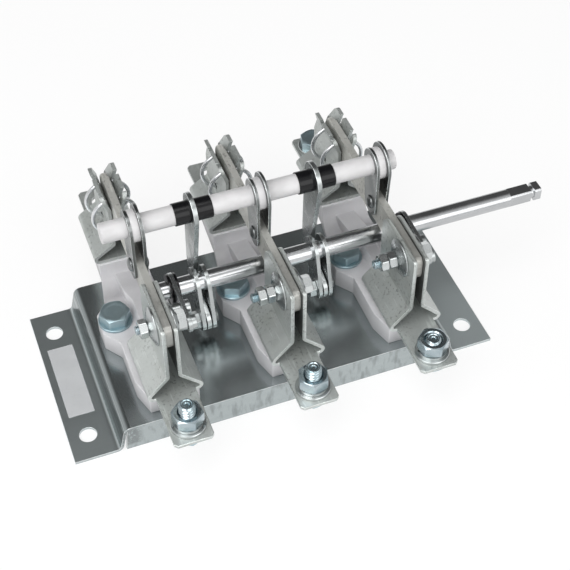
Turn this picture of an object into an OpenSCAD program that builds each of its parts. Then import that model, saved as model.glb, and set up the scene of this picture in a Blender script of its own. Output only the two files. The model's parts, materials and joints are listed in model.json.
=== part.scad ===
// Three-pole knife disconnector: a pressed mounting plate carries three moulded insulators,
// each with a hinge contact at the front and a spring jaw at the rear. Three knife blades are
// tied by one insulating rod, and a drive shaft lifts them through levers and hooked links.
// X runs along the shaft, +Y to the jaws, Z up. The origin is on the floor, mid plate.

/* [Mounting plate] */
// Distance from the outer poles to the plate's ends, on average
plate_margin = 61; // [58:1:80]
// Depth of the plate, front to rear
plate_d = 122; // [118:1:150]
// Sheet thickness of the plate
plate_t = 2; // [1.5:0.1:3]
// Height of the raised panel's top face
panel_h = 19.5; // [17:0.5:22]
// Width of each mounting flange up to its bend
flange_w = 29; // [26:0.5:32]
// Sideways run of the step between flange and panel
step_run = 4; // [3:0.5:6]
// Bend radius of the step, on the middle of the sheet
step_r = 4; // [3:0.5:5]
// Gap at the panel's corners between step and lip
corner_gap = 1; // [0.5:0.5:4]
// Distance of the mounting holes from the flange's outer edge
hole_inset_x = 12.5; // [10:0.5:15]
// Distance of the mounting holes from the plate's front and rear edges
hole_inset_y = 17.5; // [12:0.5:26]
// Diameter of the mounting holes
hole_d = 11; // [7:0.5:13]

/* [Poles] */
// Distance from pole to pole
pole_pitch = 78; // [76:1:84]
// Offset of the middle pole from the plate's centre
pole_shift = 5.4; // [0:0.1:8]

/* [Insulator] */
// Half width of the insulator's body
ins_half_w = 18; // [17:0.5:20]
// Extra width of the insulator's body on its left
ins_left = 2; // [0:0.5:3]
// Half width of the insulator's two ends
ins_end_half_w = 15.5; // [12:0.5:16]
// Front end of the insulator
ins_front_y = -54.5; // [-57:0.5:-52]
// Rear end of the insulator
ins_back_y = 101; // [97:0.5:104]
// Height of the front seat above the panel
front_seat_h = 14.5; // [13:0.5:16]
// Rise of the rear pad above the front seat
pad_rise = 3; // [2:0.5:4]
// Front face of the rear block
pad_y = 58.5; // [56:0.5:59.5]
// Radius of the hollow in front of the rear block
cove_r = 12; // [10:0.5:12]
// Thickness left under that hollow
cove_floor = 4; // [3:0.5:6]
// Half width of the insulator's spine
spine_half_w = 6.7; // [5:0.1:7]
// Rise of the spine above the front seat
spine_rise = 4; // [2:0.5:6]
// Thickness of the rear end where it overhangs the plate
nose_t = 4; // [3:0.5:8]
// Outer edge of the fixing ear, from the pole's middle
ear_x = 28; // [27:0.5:30]
// Fixing bolt's place from the pole's middle
ear_bolt_x = 18; // [17:0.5:20]
// Fixing bolt's place along Y
ear_bolt_y = 12; // [9:0.5:14]

/* [Contacts] */
// Sheet thickness of the contacts
contact_t = 2.4; // [2:0.1:2.8]
// Left half width of a hinge contact's folded base
fold_left = 20.5; // [18:0.5:21.5]
// Right half width of a contact's folded base
fold_right = 21; // [18:0.5:21.5]
// Left half width of a jaw's folded base
jaw_fold_left = 24; // [20:0.5:24.5]
// Width of the terminal tabs
tab_w = 24.6; // [20:0.2:26]
// Front edge of the hinge contact's folded part
hinge_front_y = -58; // [-60:0.5:-56]
// Length of the hinge contact's folded part
hinge_len = 46; // [44:0.5:48]
// Front edge of the jaw contact's folded part
jaw_front_y = 60; // [58:0.5:62]
// Length of the jaw contact's folded part
jaw_len = 43; // [40:0.5:46]
// Length of the front terminal tab
front_tab = 37.5; // [34:0.5:42]
// Length of the rear terminal tab
rear_tab = 25; // [24:0.5:34]
// Height from the hinge contact's seat up to its neck
neck_h = 17.5; // [16:0.5:18]
// Height from the jaw's seat up to its neck
jaw_neck_h = 14; // [12:0.5:16]
// Top of the hinge cheeks above the hinge axis
hinge_rise = 12; // [11:0.5:16]
// Top of the jaw cheeks above the hinge axis
jaw_rise = 11; // [10.5:0.5:12]
// Setback of the guide's tip from the jaw's rear edge
guide_cut = 8; // [6:0.5:10]
// Outward run of the flared guide at its top
flare_run = 4; // [3:0.5:5]
// Wire diameter of the jaw's spring rings
ring_wire = 2.6; // [2:0.1:3]
// Radius of the spring rings, to the wire's middle
ring_r = 14; // [13.5:0.1:14.5]
// Distance of the front ring from the jaw's front edge
ring_first = 6; // [5.5:0.5:8]
// Distance from ring to ring
ring_step = 17; // [15:0.5:18]
// Drop of the rings' middle below the hinge axis
ring_drop = 9; // [8.5:0.5:9.5]

/* [Blades] */
// Thickness of a knife blade
blade_t = 4.6; // [4:0.2:5]
// Height of a knife blade
blade_h = 20; // [17:0.5:20]
// Front end of the blades
blade_front_y = -55; // [-57:0.5:-54]
// Rear end of the blades
blade_back_y = 91; // [88:0.5:93]
// Hinge axis along Y
pivot_y = -40; // [-41:0.5:-39]
// Hinge axis above the floor
pivot_z = 80; // [79.5:0.5:82]
// Diameter of the hinge bolts
pivot_d = 6; // [5:0.5:8]
// Clearance of a blade between the cheeks, on each side
cheek_gap = 0.3; // [0.2:0.05:0.5]

/* [Insulating rod] */
// Rod diameter
rod_d = 12.6; // [11:0.1:13]
// Rod axis along Y
rod_y = 12; // [10:0.5:14]
// Rod axis above the floor
rod_z = 111.5; // [109:0.5:114]
// Left end of the rod from the first pole
rod_left = 19.8; // [16:0.2:24]
// Right end of the rod from the last pole
rod_right = 10.6; // [10:0.2:20]
// Thickness of the bracket plates that carry the rod
bracket_t = 2; // [1.6:0.1:2.2]
// Radius of the right bracket plate round the rod
bracket_r = 13; // [11:0.5:14]
// Radius of the left bracket plate round the rod
bracket_left_r = 10.5; // [10:0.5:13]
// Radius of a bracket plate's lower end
bracket_tip_r = 8; // [7:0.5:8.5]
// Rivet's place on the blade along Y
rivet_y = 9; // [7:0.5:11]
// Rivet's place above the floor
rivet_z = 83; // [82:0.5:85]
// Diameter of the rivets
rivet_d = 5; // [4:0.5:6]
// Length of a black sleeve on the rod
sleeve_len = 23.5; // [18:0.5:26]
// Wall thickness of a black sleeve
sleeve_t = 0.7; // [0.5:0.1:1]

/* [Drive] */
// Shaft diameter
shaft_d = 12; // [10:0.5:12.5]
// Shaft axis along Y
shaft_y = 3; // [2:0.5:4]
// Shaft axis above the floor
shaft_z = 59; // [58:0.5:60]
// Left end of the shaft from the first pole
shaft_left = 15.4; // [14:0.2:17]
// Right end of the shaft from the last pole
shaft_right = 115; // [90:1:140]
// Length of the squared end
square_len = 22.5; // [16:0.5:30]
// Width across the flats of the squared end
square_w = 9.5; // [8:0.5:10]
// Length of the lever from shaft to pin
lever_len = 25.6; // [24:0.2:26.5]
// Forward lean of the lever from straight down, in degrees
lever_lean = 20.6; // [16:0.2:24]
// Thickness of a lever plate
lever_t = 2.5; // [2:0.1:2.8]
// Thickness of a link
link_t = 3; // [2.5:0.1:3.4]
// Width of a link's strap
link_w = 14; // [11:0.5:14.5]
// Distance of the link's middle from its pole
link_x = 36; // [35.5:0.5:38]
// Side gap between a link and the lever plates
link_gap = 0.6; // [0.3:0.1:0.8]
// Diameter of the lever pins
lever_pin_d = 6; // [5:0.5:7]
// Width across flats of the lever pins' hexagons
lever_pin_af = 10; // [9:0.5:11]
// Height of the lever pins' hexagons
lever_pin_h = 5; // [4:0.5:5]
// Inner face of the shaft bearings from their pole
bearing_x = 17.25; // [16.5:0.25:19]
// Thickness of a bearing plate
bearing_t = 2.5; // [2:0.1:3]
// Outer radius of a bearing eye
bearing_r = 10; // [9.5:0.5:12]
// Radius of the bearings' spacer studs
stud_r = 3.6; // [3.2:0.1:5]
// Distance between the two spacer studs
stud_step = 12.5; // [11:0.5:14]
// Diameter of the black retaining rings
retainer_d = 19; // [16:0.5:20]
// Thickness of the black retaining rings
retainer_t = 1.5; // [1:0.1:2]

/* [Fasteners] */
// Diameter of the terminal and fixing bolts
terminal_d = 10; // [8:0.5:10.5]
// Width across flats of the terminal and fixing bolts
terminal_af = 17; // [15:0.5:18]
// Thread that stands out above a terminal nut
terminal_proud = 7; // [5:0.5:12]
// Width across flats of the hinge bolts' heads and nuts
pivot_af = 10; // [9:0.5:13]
// Distance of the front terminal bolts from the tabs' ends
terminal_inset = 13; // [10.8:0.1:16]
// Radius of the hinge's cone washers
cone_r = 12; // [10:0.5:12]
// Running clearance of a pin or shaft in its bore, on the radius
fit = 0.05; // [0.02:0.01:0.1]

/* [Hidden] */
$fn = 48;

plate_w = 2 * (pole_pitch + plate_margin);
hole_dx = plate_w - 2 * hole_inset_x;
hole_dy = plate_d - 2 * hole_inset_y;
pole_x = [for (i = [-1:1]) pole_shift + i * pole_pitch];
sheet_mid = plate_t / 2;
panel_mid = panel_h - sheet_mid;
panel_half_w = plate_w / 2 - flange_w - step_run;
lip_half_w = panel_half_w - corner_gap;
lip_foot_w = lip_half_w + step_run / 2;

seat_z = panel_h + front_seat_h;
pad_z = seat_z + pad_rise;
blade_top = pivot_z + blade_h / 2;
blade_low = pivot_z - blade_h / 2;
cheek_in = blade_t / 2 + cheek_gap;
cheek_mid = cheek_in + contact_t / 2;
cheek_out = cheek_in + contact_t;
hinge_back_y = hinge_front_y + hinge_len;
jaw_back_y = jaw_front_y + jaw_len;
front_bolt_y = hinge_front_y - front_tab + terminal_inset;
rear_bolt_y = jaw_back_y + rear_tab / 2 + 0.5;
front_top = seat_z + contact_t;
rear_top = pad_z + contact_t;
jaw_top_z = pivot_z + jaw_rise;
ring_mid_z = pivot_z - ring_drop;
ring_cross = sqrt(ring_r * ring_r - cheek_mid * cheek_mid);
ring_y = [jaw_front_y + ring_first, jaw_front_y + ring_first + ring_step];
ring_slot = ring_wire + 1.2;

bracket_in = blade_t / 2;
bracket_out = bracket_in + bracket_t;
sleeve_r = rod_d / 2 + sleeve_t;
link_bore = sleeve_r + 0.1;
link_eye = link_bore + 4.4;
lever_y = shaft_y - lever_len * sin(lever_lean);
lever_z = shaft_z - lever_len * cos(lever_lean);
lever_in = link_t / 2 + link_gap;
lever_out = lever_in + lever_t;
lever_eye = 8;
lever_hub = shaft_d / 2 + 4;
bend_r = 2.6;
stud_edge = 5;
stud_lift = 3;
stud_head_t = 3.2;
stud_at = [
  [hinge_back_y - stud_edge, shaft_z + stud_lift],
  [hinge_back_y - stud_edge - stud_step, shaft_z + stud_lift]
];
stud_shank_r = 0.6 * stud_r;

spring_t = 2.5;
washer_t = 2;
washer_d = terminal_af + 4.5;
nut_h = 0.8 * terminal_d;
head_h = 0.7 * terminal_d;
pivot_nut_h = 5;
hinge_nut_count = [1, 2, 2];
cone_h = 4;

// Points of an arc about c, from angle a0 to a1
function arc(c, r, a0, a1, n = 8) =
  [for (i = [0:n]) c + r * [cos(a0 + (a1 - a0) * i / n), sin(a0 + (a1 - a0) * i / n)]];

// Outline of two circles and the straight lines that touch both
function capsule(a, ra, b, rb, n = 16) =
  let (d = b - a, turn = atan2(d[1], d[0]), lift = acos((ra - rb) / norm(d)))
  concat(arc(a, ra, turn + lift, turn + 360 - lift, n), arc(b, rb, turn - lift, turn + lift, n));

// One side of a bent strip: the path shifted by s to its left, with every corner rounded
function strip_side(path, r, s) =
  [for (i = [0:len(path) - 1])
    let (
      last = len(path) - 1,
      d1 = i == 0 ? path[1] - path[0] : path[i] - path[i - 1],
      d2 = i == last ? d1 : path[i + 1] - path[i],
      a1 = atan2(d1[1], d1[0]),
      swing = (i == 0 || i == last) ? 0 : (atan2(d2[1], d2[0]) - a1 + 540) % 360 - 180,
      hand = sign(swing),
      n1 = [-sin(a1), cos(a1)]
    )
    each (swing == 0
      ? [path[i] + s * n1]
      : let (c = path[i] - r * tan(abs(swing) / 2) * [cos(a1), sin(a1)] + hand * r * n1)
        arc(c, r - hand * s, a1 - hand * 90, a1 - hand * 90 + swing, 6))];

// Closed outline of a bent strip of thickness t
function strip(path, r, t) =
  let (near = strip_side(path, r, t / 2), far = strip_side(path, r, -t / 2))
  concat(near, [for (i = [len(far) - 1:-1:0]) far[i]]);

// Extrudes an X-Z outline between two places on Y
module along_y(y0, y1) {
  translate([0, y1, 0]) rotate([90, 0, 0]) linear_extrude(y1 - y0) children();
}

// Extrudes a Y-Z outline between two places on X
module along_x(x0, x1) {
  translate([x0, 0, 0]) rotate([90, 0, 90]) linear_extrude(x1 - x0) children();
}

// Round bar along X
module bar_x(r, x0, x1, y = 0, z = 0) {
  translate([x0, y, z]) rotate([0, 90, 0]) cylinder(r = r, h = x1 - x0);
}

// Hexagonal prism along Z with its flats af apart
module hex_z(af, z0, z1) {
  translate([0, 0, z0]) cylinder(d = af / cos(30), h = z1 - z0, $fn = 6);
}

// Hexagonal nut along Z, bored for a thread of radius r
module nut_z(af, h, r) {
  difference() {
    hex_z(af, 0, h);
    translate([0, 0, -1]) cylinder(r = r + fit, h = h + 2);
  }
}

// Flat ring for a terminal bolt
module washer_ring(d, z0, h) {
  translate([0, 0, z0]) difference() {
    cylinder(d = d, h = h);
    translate([0, 0, -1]) cylinder(d = terminal_d + 2 * fit, h = h + 2);
  }
}

module on_pole(i) {
  translate([pole_x[i], 0, 0]) children();
}

// Pressed plate: flanges, stepped sides, raised panel and front and rear lips
module base_plate() color("lightsteelblue") {
  side = [plate_w / 2, sheet_mid];
  foot = [plate_w / 2 - flange_w, sheet_mid];
  rise = [panel_half_w, panel_mid];
  flip = [[-1, 0], [0, 1]];
  section = [side * flip, foot * flip, rise * flip, rise, foot, side];
  difference() {
    union() {
      along_y(-plate_d / 2, plate_d / 2) polygon(strip(section, step_r, plate_t));
      for (y = [-plate_d / 2, plate_d / 2 - plate_t]) along_y(y, y + plate_t) polygon([
        [-lip_foot_w, 0], [lip_foot_w, 0], [lip_half_w, panel_mid], [-lip_half_w, panel_mid]
      ]);
    }
    for (sx = [-1, 1], sy = [-1, 1])
      translate([sx * hole_dx / 2, sy * hole_dy / 2, -1]) cylinder(d = hole_d, h = plate_t + 2);
    for (x = pole_x)
      translate([x - ear_bolt_x, ear_bolt_y, 5]) cylinder(d = terminal_d + 2 * fit, h = panel_h);
  }
}

// Moulded insulator: flat seat with one fixing ear and a spine, then a hollow and the rear block
module insulator(i) color("whitesmoke") on_pole(i) {
  w = ins_half_w;
  left = ins_half_w + ins_left;
  e = ins_end_half_w;
  low = panel_h + cove_floor;
  plan = [
    [-e, ins_front_y], [e, ins_front_y], [w, ins_front_y + 14.5], [w, 28], [e, plate_d / 2],
    [e, ins_back_y], [-e, ins_back_y], [-e, plate_d / 2], [-left - 1, 28], [-ear_x, 20],
    [-ear_x, 4], [-left, -7], [-left, ins_front_y + 14.5]
  ];
  cove = arc([pad_y - cove_r, low + cove_r], cove_r, 0, -120, 12);
  ramp = cove[12];
  side = concat(
    [
      [ins_front_y, panel_h], [plate_d / 2 + 1, panel_h], [ins_back_y - 15, panel_h + 6.5],
      [ins_back_y, pad_z - nose_t], [ins_back_y, pad_z], [pad_y, pad_z]
    ],
    cove,
    [[ramp[0] - (seat_z - ramp[1]) / tan(30), seat_z], [ins_front_y, seat_z]]
  );
  spine = [
    [hinge_back_y + 1.5, seat_z - 1], [22, seat_z - 1], [30, panel_h + 1], [pad_y + 1, panel_h + 1],
    [pad_y + 1, low + 4], [22, seat_z + spine_rise], [hinge_back_y + 1.5, seat_z + spine_rise]
  ];
  crest = [
    [-spine_half_w, panel_h], [spine_half_w, panel_h], [spine_half_w, seat_z],
    [spine_half_w - 2.7, seat_z + spine_rise], [2.7 - spine_half_w, seat_z + spine_rise],
    [-spine_half_w, seat_z]
  ];
  difference() {
    union() {
      intersection() {
        translate([0, 0, panel_h - 1]) linear_extrude(pad_z - panel_h + 2) polygon(plan);
        along_x(-ear_x - 1, ear_x + 1) polygon(side);
      }
      intersection() {
        along_x(-spine_half_w - 1, spine_half_w + 1) polygon(spine);
        along_y(hinge_back_y, pad_y + 2) polygon(crest);
      }
    }
    translate([-ear_bolt_x, ear_bolt_y, panel_h - 1])
      cylinder(d = terminal_d + 2 * fit, h = front_seat_h + 2);
  }
}

// Hexagon fixing bolts of the insulators, each with its washer, screwed into the panel
module fixing_bolts() color("cadetblue") for (i = [0:2]) on_pole(i)
  translate([-ear_bolt_x, ear_bolt_y, 0]) {
    translate([0, 0, panel_h - plate_t]) cylinder(d = terminal_d, h = plate_t + front_seat_h + 1);
    translate([0, 0, seat_z]) cylinder(d = washer_d, h = washer_t);
    hex_z(terminal_af, seat_z + washer_t - 0.5, seat_z + washer_t + head_h);
  }

// Folded contact as one sheet: base, two walls that lean in to a neck, two upright cheeks
module folded_contact(z, rise, left_w, top, y0, y1) {
  base = z + contact_t / 2;
  neck = [cheek_mid, z + rise];
  left = [for (k = [len(top) - 1:-1:0]) [-top[k][0], top[k][1]]];
  path = concat(
    top, [neck, [fold_right - contact_t / 2, base], [contact_t / 2 - left_w, base]],
    [[-neck[0], neck[1]]], left
  );
  along_y(y0, y1) polygon(strip(path, bend_r, contact_t));
}

// Terminal tab with clipped corners; near is its edge under the contact, far its free end
module terminal_tab(near, far, z) {
  clip = 2;
  inner = far - clip * sign(far);
  translate([0, 0, z]) linear_extrude(contact_t) polygon([
    [-tab_w / 2, near], [-tab_w / 2, inner], [clip - tab_w / 2, far],
    [tab_w / 2 - clip, far], [tab_w / 2, inner], [tab_w / 2, near]
  ]);
}

// Hinge contact with rounded cheeks, bored for the hinge bolt
module hinge_contact(i) color("gainsboro") on_pole(i) {
  top_z = pivot_z + hinge_rise;
  r = 9;
  side = concat(
    [[hinge_front_y, seat_z - 1], [hinge_back_y, seat_z - 1]],
    arc([hinge_back_y - r, top_z - r], r, 0, 90),
    arc([hinge_front_y + 2, top_z - 2], 2, 90, 180, 4)
  );
  difference() {
    union() {
      intersection() {
        folded_contact(seat_z, neck_h, fold_left, [[cheek_mid, top_z + 1]], hinge_front_y, hinge_back_y);
        along_x(-25, 25) polygon(side);
      }
      terminal_tab(hinge_front_y + 5, hinge_front_y - front_tab, seat_z);
    }
    bar_x(pivot_d / 2 + fit, -20, 20, pivot_y, pivot_z);
    translate([0, front_bolt_y, seat_z - 1]) cylinder(d = terminal_d + 1, h = contact_t + 2);
  }
}

// Spring jaw: cheeks that flare out into a guide for the blade, slots and holes for the rings
module jaw_contact(i) color("gainsboro") on_pole(i) {
  r = 4;
  side = concat(
    [[jaw_front_y, pad_z - 1], [jaw_back_y, pad_z - 1], [jaw_back_y, blade_low]],
    arc([jaw_back_y - guide_cut - r, jaw_top_z - r], r, 20, 90),
    arc([jaw_front_y + r, jaw_top_z - r], r, 90, 180)
  );
  difference() {
    union() {
      intersection() {
        folded_contact(
          pad_z, jaw_neck_h, jaw_fold_left,
          [[cheek_mid + flare_run, jaw_top_z + 1], [cheek_mid, pivot_z]], jaw_front_y, jaw_back_y
        );
        along_x(-25, 25) polygon(side);
      }
      terminal_tab(jaw_back_y - 5, jaw_back_y + rear_tab, pad_z);
    }
    for (y = ring_y) {
      translate([-25, y - ring_slot / 2, ring_mid_z + ring_cross - ring_wire / 2 - 1])
        cube([50, ring_slot, 20]);
      bar_x(ring_slot / 2 + 0.5, -20, 20, y, ring_mid_z - ring_cross);
    }
    translate([0, rear_bolt_y, pad_z - 1]) cylinder(d = terminal_d + 1, h = contact_t + 2);
  }
}

// Open wire rings that press the jaw's cheeks on the blade
module jaw_springs(i) color("silver") on_pole(i) {
  open = asin((cheek_in + ring_wire / 2) / ring_r);
  for (y = ring_y) translate([0, y, ring_mid_z]) rotate([90, 0, 0]) rotate([0, 0, 90 + open])
    rotate_extrude(angle = 360 - 2 * open) translate([ring_r, 0]) circle(d = ring_wire, $fn = 24);
}

// Hinge bolt along X with its head on the right
module hinge_bolt(i) color("silver") on_pole(i) {
  start = cheek_out + cone_h;
  bar_x(pivot_d / 2, -start - hinge_nut_count[i] * (pivot_nut_h + 2), start + 1, pivot_y, pivot_z);
  translate([start, pivot_y, pivot_z]) rotate([0, 90, 0]) hex_z(pivot_af, 0, pivot_nut_h);
}

// Nuts on the left of each hinge bolt
module hinge_nuts() color("silver") for (i = [0:2], k = [0:hinge_nut_count[i] - 1]) on_pole(i)
  translate([-cheek_out - cone_h - k * (pivot_nut_h + 0.4), pivot_y, pivot_z])
    rotate([0, -90, 0]) nut_z(pivot_af, pivot_nut_h, pivot_d / 2);

// Cone-shaped spring washers on both cheeks of each hinge
module cone_washers() color("silver") for (i = [0:2], s = [-1, 1]) on_pole(i)
  translate([s * cheek_out, pivot_y, pivot_z]) rotate([0, s * 90, 0]) rotate_extrude() polygon([
    [pivot_d / 2 + fit, cone_h - 1.6], [cone_r, 0], [cone_r, 1.2],
    [pivot_af / 2, cone_h], [pivot_d / 2 + fit, cone_h]
  ]);

// Bolts of the front terminals, heads below the tabs, and one rear bolt with its head on top
module terminal_bolts() color("lightblue") {
  nut_foot = front_top + washer_t + spring_t;
  for (i = [0:2]) on_pole(i) translate([0, front_bolt_y, 0]) {
    proud = i == 2 ? 0.5 : terminal_proud;
    translate([0, 0, seat_z - 1]) cylinder(d = terminal_d, h = nut_foot + nut_h + proud - seat_z + 1);
    hex_z(terminal_af, seat_z - head_h, seat_z);
  }
  on_pole(2) translate([0, rear_bolt_y, 0]) {
    translate([0, 0, pad_z - nut_h - 6])
      cylinder(d = terminal_d, h = nut_h + 6 + contact_t + washer_t + 1);
    hex_z(terminal_af, rear_top + washer_t, rear_top + washer_t + head_h);
  }
}

module terminal_nuts() color("lightblue") {
  for (i = [0:2]) on_pole(i) translate([0, front_bolt_y, front_top + washer_t + spring_t])
    nut_z(terminal_af, nut_h, terminal_d / 2);
  on_pole(2) translate([0, rear_bolt_y, pad_z - nut_h]) nut_z(terminal_af, nut_h, terminal_d / 2);
}

// Split spring washers under the front nuts
module spring_washers() color("silver") for (i = [0:2]) on_pole(i)
  translate([0, front_bolt_y, 0]) difference() {
    washer_ring(terminal_af + 1, front_top + washer_t, spring_t);
    rotate([0, 0, -60]) translate([3, -0.6, front_top + washer_t - 1]) cube([12, 1.2, spring_t + 2]);
  }

module flat_washers() color("silver") {
  for (i = [0:2]) on_pole(i) translate([0, front_bolt_y, 0]) washer_ring(washer_d, front_top, washer_t);
  on_pole(2) translate([0, rear_bolt_y, 0]) washer_ring(washer_d, rear_top, washer_t);
}

// Bearing plate beside a hinge contact, with an eye round the shaft
module bearing_plate(i) color("silver") on_pole(i) difference() {
  along_x(bearing_x, bearing_x + bearing_t)
    polygon(capsule(stud_at[1], stud_r + 2, [shaft_y, shaft_z], bearing_r));
  bar_x(shaft_d / 2 + fit, 0, 40, shaft_y, shaft_z);
  for (p = stud_at) bar_x(stud_shank_r + fit, 0, 40, p[0], p[1]);
}

// Spacer studs that carry the bearing plates on the right hinge cheeks
module bearing_studs() color("silver") for (i = [0, 2], p = stud_at) on_pole(i) translate([0, p[0], p[1]]) {
  bar_x(stud_r, cheek_out, bearing_x);
  bar_x(stud_shank_r, bearing_x - 1, bearing_x + bearing_t + 1);
  bar_x(1.3 * stud_r, bearing_x + bearing_t, bearing_x + bearing_t + stud_head_t);
}

// Knife blade with rounded ends, bored for the hinge bolt
module blade(i) color("silver") on_pole(i) {
  front = concat(
    arc([blade_front_y + 4, blade_top - 4], 4, 90, 180, 4),
    arc([blade_front_y + 9, blade_low + 9], 9, 180, 270)
  );
  rear = concat(
    arc([blade_back_y - 6, blade_low + 6], 6, 270, 360, 6),
    arc([blade_back_y - 8, blade_top - 8], 8, 0, 90)
  );
  difference() {
    along_x(-blade_t / 2, blade_t / 2) polygon(concat(front, rear));
    bar_x(pivot_d / 2 + fit, -10, 10, pivot_y, pivot_z);
    bar_x(rivet_d / 2, -10, 10, rivet_y, rivet_z);
  }
}

// Pair of drop-shaped plates that clasp the blade and carry the rod
module rod_brackets(i) color("silver") on_pole(i) {
  tip = [rivet_y + 0.5, rivet_z - 2];
  difference() {
    union() {
      along_x(bracket_in, bracket_out) polygon(capsule([rod_y, rod_z], bracket_r, tip, bracket_tip_r));
      along_x(-bracket_out, -bracket_in)
        polygon(capsule([rod_y, rod_z], bracket_left_r, tip, bracket_tip_r));
    }
    bar_x(rod_d / 2, -20, 20, rod_y, rod_z);
    bar_x(rivet_d / 2, -20, 20, rivet_y, rivet_z);
  }
}

// Rivets with domed heads through plates and blade
module bracket_rivets() color("silver") for (i = [0:2]) on_pole(i) translate([0, rivet_y, rivet_z]) {
  bar_x(rivet_d / 2, -bracket_out, bracket_out);
  for (s = [-1, 1]) rotate([0, s * 90, 0]) translate([0, 0, bracket_out]) rotate_extrude()
    polygon(concat([[0, 0]], [for (a = [0:15:90]) [0.9 * rivet_d * cos(a), 2.4 * sin(a)]]));
}

// White tubes on the rod between the two plates of each pair
module rod_spacers() color("white") for (i = [0:2]) on_pole(i) difference() {
  bar_x(bracket_left_r - 0.5, -bracket_in, bracket_in, rod_y, rod_z);
  bar_x(rod_d / 2, -20, 20, rod_y, rod_z);
}

module insulating_rod() color("white")
  bar_x(rod_d / 2, pole_x[0] - rod_left, pole_x[2] + rod_right, rod_y, rod_z);

// Black sleeves on which the links turn
module rod_sleeves() color("black") for (i = [0:1]) on_pole(i) difference() {
  mid = link_x + 0.5;
  bar_x(sleeve_r, mid - sleeve_len / 2, mid + sleeve_len / 2, rod_y, rod_z);
  bar_x(rod_d / 2, 0, 80, rod_y, rod_z);
}

// Drive shaft with a squared, grooved end for the handle
module drive_shaft() color("silver") {
  x0 = pole_x[0] + shaft_left;
  x1 = pole_x[2] + shaft_right;
  groove_x = x1 - 7.3;
  difference() {
    bar_x(shaft_d / 2, x0, x1, shaft_y, shaft_z);
    for (a = [0, 90, 180, 270])
      translate([x1 - square_len, shaft_y, shaft_z]) rotate([a, 0, 0])
        translate([0, -shaft_d, square_w / 2]) cube([square_len + 1, 2 * shaft_d, shaft_d]);
    difference() {
      bar_x(shaft_d, groove_x, groove_x + 2.5, shaft_y, shaft_z);
      bar_x(square_w / 2 - 0.6, groove_x - 1, groove_x + 4, shaft_y, shaft_z);
    }
  }
}

// Pair of lever plates on the shaft
module levers(i) color("silver") on_pole(i) translate([link_x, 0, 0]) {
  shape = capsule([shaft_y, shaft_z], lever_hub, [lever_y, lever_z], lever_eye);
  difference() {
    for (s = [0, 1]) mirror([s, 0, 0]) along_x(lever_in, lever_out) polygon(shape);
    bar_x(shaft_d / 2, -20, 20, shaft_y, shaft_z);
    bar_x(lever_pin_d / 2, -20, 20, lever_y, lever_z);
  }
}

// Lever pins: a flat head on the right and a hexagon on the left, open in the link's gap
module lever_pins() color("silver") for (i = [0:1]) on_pole(i) translate([link_x, lever_y, lever_z]) {
  bar_x(lever_pin_d / 2, -lever_out - 2, -lever_in);
  bar_x(lever_pin_d / 2, lever_in, lever_out + 1);
  translate([-lever_out - lever_pin_h, 0, 0]) rotate([0, 90, 0]) hex_z(lever_pin_af, 0, lever_pin_h);
  translate([lever_out, 0, 0]) rotate([0, 90, 0])
    cylinder(d1 = lever_pin_af, d2 = 0.8 * lever_pin_af, h = lever_pin_h / 2);
}

// Black rings that hold the shaft endways at its bearings
module retaining_rings() color("black") {
  before = bearing_x - 0.3 - retainer_t;
  after = bearing_x + bearing_t + 0.3;
  for (at = [[0, before], [0, after], [2, before]]) on_pole(at[0]) difference() {
    bar_x(retainer_d / 2, at[1], at[1] + retainer_t, shaft_y, shaft_z);
    bar_x(shaft_d / 2, 0, 60, shaft_y, shaft_z);
  }
}

// Hooked link: an eye on the rod's sleeve, a strap behind the shaft, a lower eye at the lever pin
module link(i) color("lightslategray") on_pole(i) translate([link_x, 0, 0]) {
  rod = [rod_y, rod_z];
  pin = [lever_y, lever_z];
  bow = [shaft_y + shaft_d / 2 + link_w / 2 + 3, shaft_z + 0.5];
  heel = pin + [20, 8];
  difference() {
    along_x(-link_t / 2, link_t / 2) union() {
      polygon(capsule(rod, link_eye, bow, link_w / 2));
      polygon(capsule(bow, link_w / 2, heel, link_w / 2 - 0.01));
      polygon(capsule(heel, link_w / 2, pin, lever_eye));
    }
    bar_x(link_bore, -20, 20, rod_y, rod_z);
    bar_x(lever_pin_d / 2 + fit, -20, 20, lever_y, lever_z);
  }
}

base_plate();
insulator(0);  // insulator_1
insulator(1);  // insulator_2
insulator(2);  // insulator_3
fixing_bolts();
hinge_contact(0);  // hinge_contact_1
hinge_contact(1);  // hinge_contact_2
hinge_contact(2);  // hinge_contact_3
jaw_contact(0);  // jaw_contact_1
jaw_contact(1);  // jaw_contact_2
jaw_contact(2);  // jaw_contact_3
jaw_springs(0);  // jaw_springs_1
jaw_springs(1);  // jaw_springs_2
jaw_springs(2);  // jaw_springs_3
hinge_bolt(0);  // hinge_bolt_1
hinge_bolt(1);  // hinge_bolt_2
hinge_bolt(2);  // hinge_bolt_3
hinge_nuts();
cone_washers();
terminal_bolts();
terminal_nuts();
spring_washers();
flat_washers();
bearing_plate(0);  // bearing_plate_left
bearing_plate(2);  // bearing_plate_right
bearing_studs();
blade(0);  // blade_1
blade(1);  // blade_2
blade(2);  // blade_3
rod_brackets(0);  // rod_brackets_1
rod_brackets(1);  // rod_brackets_2
rod_brackets(2);  // rod_brackets_3
bracket_rivets();
rod_spacers();
insulating_rod();
rod_sleeves();
drive_shaft();
levers(0);  // levers_1
levers(1);  // levers_2
lever_pins();
retaining_rings();
link(0);  // link_1
link(1);  // link_2
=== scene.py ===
import json
import math

import bmesh
import bpy
from mathutils import Matrix, Vector


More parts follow.
